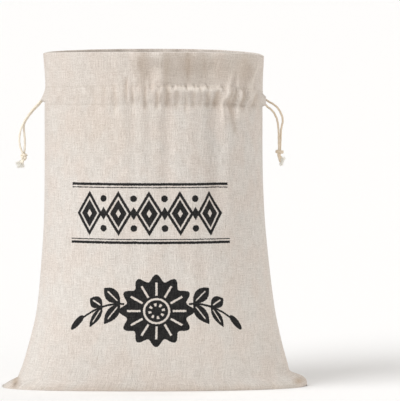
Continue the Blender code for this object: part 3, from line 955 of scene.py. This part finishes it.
# Points of one row of a panel, drawn as the front panel, and how far its creases stand out
def rowShape(side, row, shares, values):
    level, length, curveX, curveY, outX, outY = sectionAt(row.height)
    heading, creases, seed = relief[side]
    arch = math.sin(math.pi * row.share)
    cut = values["seamCut"] + values["channelCut"] * max(arch, 0.0) ** 0.5
    cutShares = shares * (1.0 - 2.0 * cut / length)
    at, steps = (cutShares + 1.0) / 2.0 * (len(curveX) - 1), np.arange(len(curveX))
    x, y, nx, ny = (np.interp(at, steps, curve) for curve in (curveX, curveY, outX, outY))
    seamHeight = np.where(shares < 0, level.left, level.right)
    late = np.abs(shares) ** level.late
    z = row.height + (seamHeight - row.height) * late + row.lift - row.drop
    height = row.height - row.drop + np.zeros_like(x)
    ends = 1.0 - np.abs(shares) ** 10
    fromSeam = (1.0 - np.abs(shares)) * length / 2
    places, *channel = zip(*channelPlaces[side])
    puff, groove, skew, tuck = (np.interp(x, places, column) for column in channel)
    inward = foldDepth(mainFolds[side], cutShares * length / 2, height)
    inward += headingDepth(heading, x, height, values)
    creased = creaseRise(creases, x, height)
    inward -= creased
    inward += softWaves(x, height, seed) * min(row.height / 0.02, 1.0)
    scallop = sum(size * np.sin(x * wave + turn) for size, wave, turn in values["scallops"])
    top = values["upperStitch"] + values["puffAbove"] + scallop
    rise = np.clip((height - values["lowerStitch"]) / (top - values["lowerStitch"]), 0.0, 1.0)
    inward -= puff * np.sin(math.pi * rise**skew)
    inward += tuck * np.exp(-(((height - values["lowerStitch"]) / values["tuck"]) ** 2))
    inward *= ends
    if row.share == 0.0:
        inward += values["seamPinch"] * np.exp(-((fromSeam / values["seamPinchWidth"]) ** 2))
    if row.behind == 0.0:
        for stitch in (values["lowerStitch"], values["upperStitch"]):
            inward += groove * math.exp(-(((row.height - stitch) / values["grooveWidth"]) ** 2))
    inward += row.behind
    dent = np.zeros_like(x)
    if row.height < earValues["reach"]:
        dent = earRelief(x, z, earValues) * min(row.height / 0.003, 1.0)
    x = x - nx * inward + spout(shares, row.share, spoutValues)
    y = y - ny * inward + dent
    if side == "back" and row.height < earValues["reach"]:
        y = y * (1.0 - earFlat(x, z, earValues))
    y = np.minimum(y, -values["seamCut"])
    return np.stack([x, y, z], axis=1), creased * ends


def rowPoints(side, row, shares, values):
    return rowShape(side, row, shares, values)[0]


def panelGrid(side, values):
    rows = panelRows(values)
    count, bend, share = values["columns"][side]  # closer columns where the folds are finer
    shares = np.interp(np.linspace(-1.0, 1.0, count), (-1.0, bend, 1.0), (-1.0, share, 1.0))
    points = np.zeros((len(shares), len(rows), 3))
    creased = np.zeros((len(shares), len(rows)))
    floorRows = [r for r, row in enumerate(rows) if row.floor < 1.0]
    for r, row in enumerate(rows):
        if row.floor == 1.0:
            points[:, r], creased[:, r] = rowShape(side, row, shares, values)
    edge = points[:, len(floorRows)]
    reach = np.where(shares < 0, levels[0].reachLeft, levels[0].reachRight)
    tip = np.where(shares < 0, levels[0].left, levels[0].right)
    seam = np.stack([shares * reach, np.full(len(shares), -values["seamCut"]), 0 * shares], axis=1)
    for r in floorRows:
        points[:, r] = seam + (edge - seam) * rows[r].floor
        points[:, r, 2] = tip * rows[r].floor * np.abs(shares) ** levels[0].late
    return shares, rows, points, creased


def makePanel(name, side, values, material):
    shares, rows, points, creased = panelGrid(side, values)
    bm = bmesh.new()
    layer = bm.loops.layers.uv.new("cloth")
    # the crease rise is kept so that the linen can paint shade into its hollows and light onto its ridges
    crease = bm.verts.layers.float.new("crease")
    places = {}
    for vert, column, row in gridVerts(bm, len(shares), len(rows)):
        vert.co = points[column, row]
        if side == "back":
            vert.co.y = -vert.co.y
        vert[crease] = 1000.0 * creased[column, row]
        places[vert] = (shares[column] * values["clothWidth"], rows[row].travel)
    for face in bm.faces:
        for loop in face.loops:
            loop[layer].uv = places[loop.vert]
    if side == "back":
        bmesh.ops.reverse_faces(bm, faces=bm.faces)
    panel = finishMesh(name, bm, material)
    sheet = panel.modifiers.new("thickness", "SOLIDIFY")
    sheet.thickness = values["cloth"]
    sheet.offset = -1.0
    return panel


# Stitches along both edges of the channel, and the drawcords' runs inside it

threadValues = {
    "pitch": 0.0034,
    "fill": 0.72,
    "radius": 0.00019,
    "rise": 0.00012,
    "sink": 0.00025,
    "base": (0.72, 0.66, 0.58, 1.0),
}

innerCordValues = {"radius": 0.00100, "inward": 0.0035, "levels": {"left": 0.28, "right": 0.66}}


def threadMaterial(values):
    material, wires, shader = newMaterial("sewing_thread", {"Roughness": 0.7})
    x, y, z = objectAxes(wires)
    fuzz = wires.noise(x, y, 5200.0, 2.0, z)
    darker = tuple(0.8 * part for part in values["base"][:3]) + (1.0,)
    feed(shader, "Base Color", fuzz.blend(darker, values["base"]))
    feed(shader, "Normal", fuzz.bump(0.0001))
    return material


def makeStitches(name, side, height, values, bag, material):
    length = sectionAt(height)[1]
    count = round(length / values["pitch"])
    bm = bmesh.new()
    for k in range(1, count - 1):
        ends = 2.0 * np.array([k, k + values["fill"]]) / count - 1.0
        shares = np.linspace(ends[0], ends[1], 5)
        middle = rowPoints(side, Row(height, height, -values["rise"], 0, 0, 0.0, 1.0), shares, bag)
        under = rowPoints(side, Row(height, height, values["sink"], 0, 0, 0.0, 1.0), shares, bag)
        line = np.vstack([under[:1], middle[1:4], under[4:]])
        if side == "back":
            line[:, 1] *= -1
        addTube(bm, line, lambda angle, along: values["radius"], 5)
    stitches = finishMesh(name, bm, material)
    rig.slot(stitches, "linen")
    return stitches


def makeInnerCord(name, side, values, bag, material):
    share = values["levels"][side]
    height = bag["lowerStitch"] + (bag["upperStitch"] - bag["lowerStitch"]) * share
    row = Row(height, height, values["inward"], 0, 0, share, 1.0)
    bm = bmesh.new()
    for panel in ("front", "back"):
        line = rowPoints(panel, row, np.linspace(-0.93, 0.93, 150), bag)
        if panel == "back":
            line[:, 1] *= -1
        addTube(bm, smoothLine(line[::2], 0.0016), lambda angle, along: values["radius"], 8)
    return finishMesh(name, bm, material)


# Linen

linenValues = {
    "base": (0.645, 0.592, 0.545, 1.0),
    "light": (0.900, 0.850, 0.800, 1.0),
    "dark": (0.390, 0.335, 0.290, 1.0),
    "warm": (0.655, 0.585, 0.530, 1.0),
    "cool": (0.632, 0.600, 0.560, 1.0),
    "fleck": (0.300, 0.220, 0.150, 1.0),
    # painted shade: a darker, browner tone for the channel and heading
    "paintedHeadingShade": (0.600, 0.520, 0.455, 1.0),
    # painted highlight along the top of the rim fold
    "rimHighlight": (0.860, 0.830, 0.780, 1.0),
    "thread": 0.78,
    # tones for painted shade and painted light, on the patches and on the crease hollows and ridges
    "shadeTone": (0.380, 0.250, 0.130, 1.0),
    "paintedLightTone": (1.000, 0.930, 0.840, 1.0),
    "groundShare": 0.56,
    # where along the cloth the painted heading shade starts, and how strongly it is mixed in
    "headingShadeFrom": (282.0, 292.0),
    "headingShadeShare": 0.42,
    "rimHeight": 335.5,
    # how strongly shade is painted into crease hollows and light onto crease ridges
    "hollowShade": 0.075,
    "ridgeLight": 0.08,
    "ink": (0.0095, 0.0095, 0.0100, 1.0),
    "inkWear": (0.034, 0.033, 0.032, 1.0),
    "roughness": 0.93,
}


# Threads of the cloth, in millimetres: their tones, and how high they stand
def weave(wires, x, y, values):
    turn = math.pi / values["thread"]
    warpTone = wires.noise(x * 1.25, y * 0.085, 1.0, 2.0, 1.0) - 0.5
    weftTone = wires.noise(x * 0.085, y * 1.25, 1.0, 2.0, 7.0) - 0.5
    speckle = wires.noise(x * 0.95, y * 0.80, 1.0, 2.0, 3.0) - 0.5
    over = (x * turn).sin() * (y * turn).sin() * 0.5 + 0.5
    tone = warpTone * (over + 0.9) + weftTone * (1.7 - over) * 0.8 + speckle * 1.5
    warp, weft = abs((x * turn).sin()), abs((y * turn).sin())
    height = warp * over + weft * (1.0 - over) + speckle * 1.6 + warpTone * 1.4 + weftTone * 1.2
    return tone, height


printValues = {
    "bandPlace": (-4.0, 178.0),
    "bandPitch": 30.0,
    "lozenge": (13.4, 22.0),
    "lineHeight": 28.5,
    "bandReach": 80.0,
    "sprayPlace": (2.0, 82.0),
    "petals": 12,
    "flower": 33.0,
    "petalDepth": 3.4,
    "leafPitch": 17.5,
    "leaf": (24.0, 6.2),
}


def edge(distance, soft=0.22):
    return distance.step(-soft, soft)


# Upper band of the print, in millimetres: lozenges and dots between two lines
def bandInk(x, y, values):
    pitch = values["bandPitch"]
    wide, tall = values["lozenge"]
    cell = x - (x / pitch + 0.5).floor() * pitch
    lozenge = (1.0 - abs(cell) / wide - abs(y) / tall) * 11.0
    ring = edge(0.75 - abs(lozenge - 3.4))
    heart = edge(1.0 - abs(cell) / 2.4 - abs(y) / 4.0, 0.08)
    motif = (edge(lozenge) - ring - heart).most(0.0) * edge(2.5 * pitch - abs(x))
    gap = x - ((x / pitch).floor() + 0.5) * pitch
    up = abs(y) - 14.5
    dots = edge(3.3 - (gap * gap + up * up) ** 0.5)
    small = edge(1.0 - abs(gap) / 4.0 - abs(y) / 6.5, 0.06)
    inner = dots.most(small) * edge(2.2 * pitch - abs(x))
    lines = edge(1.3 - abs(abs(y) - values["lineHeight"])) * edge(values["bandReach"] - abs(x))
    thin = edge(0.5 - abs(abs(y) - values["lineHeight"] + 3.2)) * edge(values["bandReach"] - abs(x))
    return motif.most(inner).most(lines.most(thin))


# Lower part of the print: a flower with a leafy spray at each side
def sprayInk(x, y, values):
    radius = (x * x + y * y) ** 0.5
    angle = x.maths("ARCTAN2", y, x)
    wave = (angle * float(values["petals"]) + 1.57).sin() * values["petalDepth"]
    petals = edge(values["flower"] + wave - radius)
    veins = edge(1.0 - abs((angle * values["petals"] * 0.5).sin()) * radius / 6.0)
    veins = veins * edge(radius - 15.5) * edge(values["flower"] - 4.5 - radius)
    ring = edge(1.0 - abs(radius - 12.0))
    pips = edge(1.5 - abs(radius - 6.5)) * edge((angle * 8.0).sin() * 1.2 - 0.3)
    flower = (petals - veins - ring - pips).most(0.0)
    out = abs(x) - values["flower"] - 2.0
    stemY = 7.0 - out * out * 0.0105
    pitch = values["leafPitch"]
    cell = (out / pitch).floor()
    size = 1.0 - cell * 0.20
    along, off = out - cell * pitch, abs(y - stemY)
    length, width = values["leaf"][0] * size, values["leaf"][1] * size
    onward, aside = along * 0.66 + off * 0.75, off * 0.66 - along * 0.75
    share = onward / length
    leaves = edge(width * 4.0 * share * (1.0 - share) - abs(aside))
    leaves = leaves * edge(cell + 0.5) * edge(1.5 - cell)
    vein = edge(0.55 - abs(aside)) * edge(share - 0.18, 0.04) * edge(0.76 - share, 0.04)
    stem = edge(1.1 - off) * edge(out + 4.0) * edge(2.35 * pitch - out)
    tip, budY = out - 2.45 * pitch, y - stemY
    bud = edge(4.6 - (tip * tip * 0.5 + budY * budY) ** 0.5)
    return flower.most((leaves - vein).most(0.0)).most(stem).most(bud)


# Painted shade and painted light on the cloth's colour: soft patches made darker (painted shade, among them a painted
# contact shadow along the foot and painted shade in the ear creases) or paler (painted light); middle, half width and
# half height in millimetres

PaintedLightPatch = namedtuple("PaintedLightPatch", "x z wide tall amount")

frontPaintedLight = [
    # painted shade on the upper body, the heading's right half and its fold strips
    PaintedLightPatch(-50.0, 262.0, 66.0, 38.0, -0.11),
    PaintedLightPatch(50.0, 319.0, 68.0, 18.0, -0.16),
    PaintedLightPatch(-11.0, 324.0, 5.2, 21.0, -0.15),
    PaintedLightPatch(12.6, 321.0, 3.6, 21.0, -0.17),
    PaintedLightPatch(33.4, 325.0, 3.2, 15.0, -0.18),
    PaintedLightPatch(49.5, 320.0, 2.6, 11.0, -0.10),
    PaintedLightPatch(90.0, 320.0, 6.0, 18.0, -0.14),
    # painted highlight along the top of the puffed channel
    PaintedLightPatch(39.0, 299.6, 20.0, 2.8, 0.42),
    # painted shade below the channel, then painted light over the lower body
    PaintedLightPatch(74.0, 283.0, 36.0, 9.0, -0.09),
    PaintedLightPatch(30.0, 62.0, 140.0, 70.0, 0.12),
    # painted contact shadow along the foot, and painted shade in the ear creases
    PaintedLightPatch(10.0, 1.0, 220.0, 4.0, -0.16),
    PaintedLightPatch(-138.6, 7.0, 4.0, 5.0, -0.46),
    PaintedLightPatch(143.8, 6.2, 5.5, 3.0, -0.46),
]
backPaintedLight = [
    # painted light low on the back, a painted contact shadow along its foot, painted shade on its heading
    PaintedLightPatch(0.0, 70.0, 170.0, 70.0, 0.10),
    PaintedLightPatch(0.0, 1.0, 220.0, 4.0, -0.16),
    PaintedLightPatch(-20.0, 300.0, 120.0, 26.0, -0.07),
]


def addPaintedLight(wires, colour, patches, values):
    x, z = (axis * 1000.0 for axis in objectAxes(wires, (0, 2)))
    for patch in patches:
        across, up = (x - patch.x) / patch.wide, (z - patch.z) / patch.tall
        away = across * across + up * up
        share = wires.maths("EXPONENT", -away) * abs(patch.amount)
        # darker patches blend towards the painted shade tone, paler ones towards the painted light tone
        tone = values["shadeTone"] if patch.amount < 0 else values["paintedLightTone"]
        colour = share.blend(colour, tone)
    return colour


def linenMaterial(name, values, printed):
    material, wires, shader = newMaterial(name, {"Roughness": values["roughness"]})
    x, y = mapCoordinates(wires, 1000.0)
    tone, height = weave(wires, x, y, values)
    patches = wires.noise(x * 0.045, y * 0.028, 1.0, 2.0, 5.0)
    ground = patches.step(0.35, 0.65).blend(values["warm"], values["cool"])
    # painted shade: the cloth from 282 to 292 mm along it upward (channel, heading and facing) made darker and browner
    double = y.step(*values["headingShadeFrom"]) * values["headingShadeShare"]
    ground = double.blend(ground, values["paintedHeadingShade"])
    colour = (tone * 1.15 + 0.5 + (patches - 0.5) * 0.22).blend(values["dark"], values["light"])
    mix = {0: values["groundShare"], 6: colour, 7: ground}
    colour = wires.make("ShaderNodeMix", mix, output=2, data_type="RGBA")
    fleck = wires.noise(x * 0.55, y * 0.16, 1.0, 1.0, 13.0).step(0.70, 0.78) * 0.35
    colour = fleck.blend(colour, values["fleck"])
    # painted shade and painted light patches
    colour = addPaintedLight(wires, colour, frontPaintedLight if printed else backPaintedLight, values)
    # painted shade in the crease hollows and a painted highlight on the ridges, read from the crease attribute
    crease = wires.make("ShaderNodeAttribute", output="Fac", attribute_name="crease")
    hollow = (crease * -values["hollowShade"]).most(0.0).least(0.5)
    colour = hollow.blend(colour, values["shadeTone"])
    colour = (crease * values["ridgeLight"]).most(0.0).least(0.5).blend(colour, values["paintedLightTone"])
    # painted highlight: a light line along the top of the rim fold
    rimHighlight = (1.15 - abs(y - values["rimHeight"])).step(0.0, 0.9) * 0.75
    colour = rimHighlight.blend(colour, values["rimHighlight"])
    if printed:
        roughX = x + (wires.noise(x, y, 0.9, 2.0, 11.0) - 0.5) * 1.3
        roughY = y + (wires.noise(x, y, 0.9, 2.0, 17.0) - 0.5) * 1.3
        band = [place - at for place, at in zip((roughX, roughY), printValues["bandPlace"])]
        spray = [place - at for place, at in zip((roughX, roughY), printValues["sprayPlace"])]
        ink = bandInk(*band, printValues).most(sprayInk(*spray, printValues))
        inked = (tone * 1.6 + 0.42).blend(values["ink"], values["inkWear"])
        colour = ink.blend(colour, inked)
    feed(shader, "Base Color", colour)
    feed(shader, "Normal", height.bump(0.00020))
    shader.inputs["Sheen Weight"].default_value = 0.05
    shader.inputs["Specular IOR Level"].default_value = 0.12
    return material


printedLinen = linenMaterial("printed_linen", linenValues, True)
plainLinen = linenMaterial("plain_linen", linenValues, False)
frontPanel = makePanel("frontPanel", "front", bagValues, printedLinen)
backPanel = makePanel("backPanel", "back", bagValues, plainLinen)
for panel, node in ((frontPanel, "front_panel"), (backPanel, "back_panel")):
    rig.replaces(panel, node)
    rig.slot(panel, "linen")
    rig.sheet(panel, flat=(0.305, 0.445), held="gathered")
print("panels made")

thread = threadMaterial(threadValues)
for side in ("front", "back"):
    for row in ("Lower", "Upper"):
        height = bagValues[row.lower() + "Stitch"]
        makeStitches(side + row + "Stitches", side, height, threadValues, bagValues, thread)
for side, node in (("left", "left_drawcord"), ("right", "right_drawcord")):
    inner = makeInnerCord(side + "InnerCord", side, innerCordValues, bagValues, cotton)
    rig.replaces(inner, node)
    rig.slot(inner, "cotton_cord")
print("stitches made")


# Floor, world and lights

stageValues = {
    "floorSize": 500.0,
    "floorColour": (0.93, 0.93, 0.93, 1.0),
    "world": (1.0, 0.98, 0.955, 1.0),
    "worldStrength": 0.62,
}

Sun = namedtuple("Sun", "name place strength spread colour")

suns = [
    Sun("keySun", (-0.66, -0.48, 0.60), 2.05, 40.0, (0.985, 0.99, 1.0)),
    Sun("fillSun", (0.62, -0.76, 0.12), 0.42, 50.0, (1.0, 0.955, 0.905)),
    Sun("edgeSun", (0.86, 0.40, 0.32), 0.70, 30.0, (1.0, 0.98, 0.95)),
]


def makeStage(values):
    bm = bmesh.new()
    bmesh.ops.create_grid(bm, x_segments=1, y_segments=1, size=values["floorSize"] / 2)
    mesh = bpy.data.meshes.new("floor")
    bm.to_mesh(mesh)
    bm.free()
    material, wires, shader = newMaterial("floor", {"Roughness": 0.9})
    shader.inputs["Base Color"].default_value = values["floorColour"]
    mesh.materials.append(material)
    floor = bpy.data.objects.new("floor", mesh)
    bpy.context.scene.collection.objects.link(floor)
    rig.stage(floor)
    world = bpy.data.worlds.new("world")
    world.use_nodes = True
    background = world.node_tree.nodes["Background"]
    background.inputs["Color"].default_value = values["world"]
    background.inputs["Strength"].default_value = values["worldStrength"]
    bpy.context.scene.world = world


def makeSun(sun):
    light = bpy.data.lights.new(sun.name, "SUN")
    light.energy = sun.strength
    light.angle = math.radians(sun.spread)
    light.color = sun.colour
    aimed(bpy.data.objects.new(sun.name, light), sun.place, (0.0, 0.0, 0.0))


makeStage(stageValues)
for sun in suns:
    makeSun(sun)
bpy.context.scene.view_settings.view_transform = "Standard"
print("stage made")

with open("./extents.json", "w") as sizes:
    json.dump({name: [[float(n) for n in corner] for corner in box]
               for name, box in (("cad", cadBox), ("visual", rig.bounds()))}, sizes)
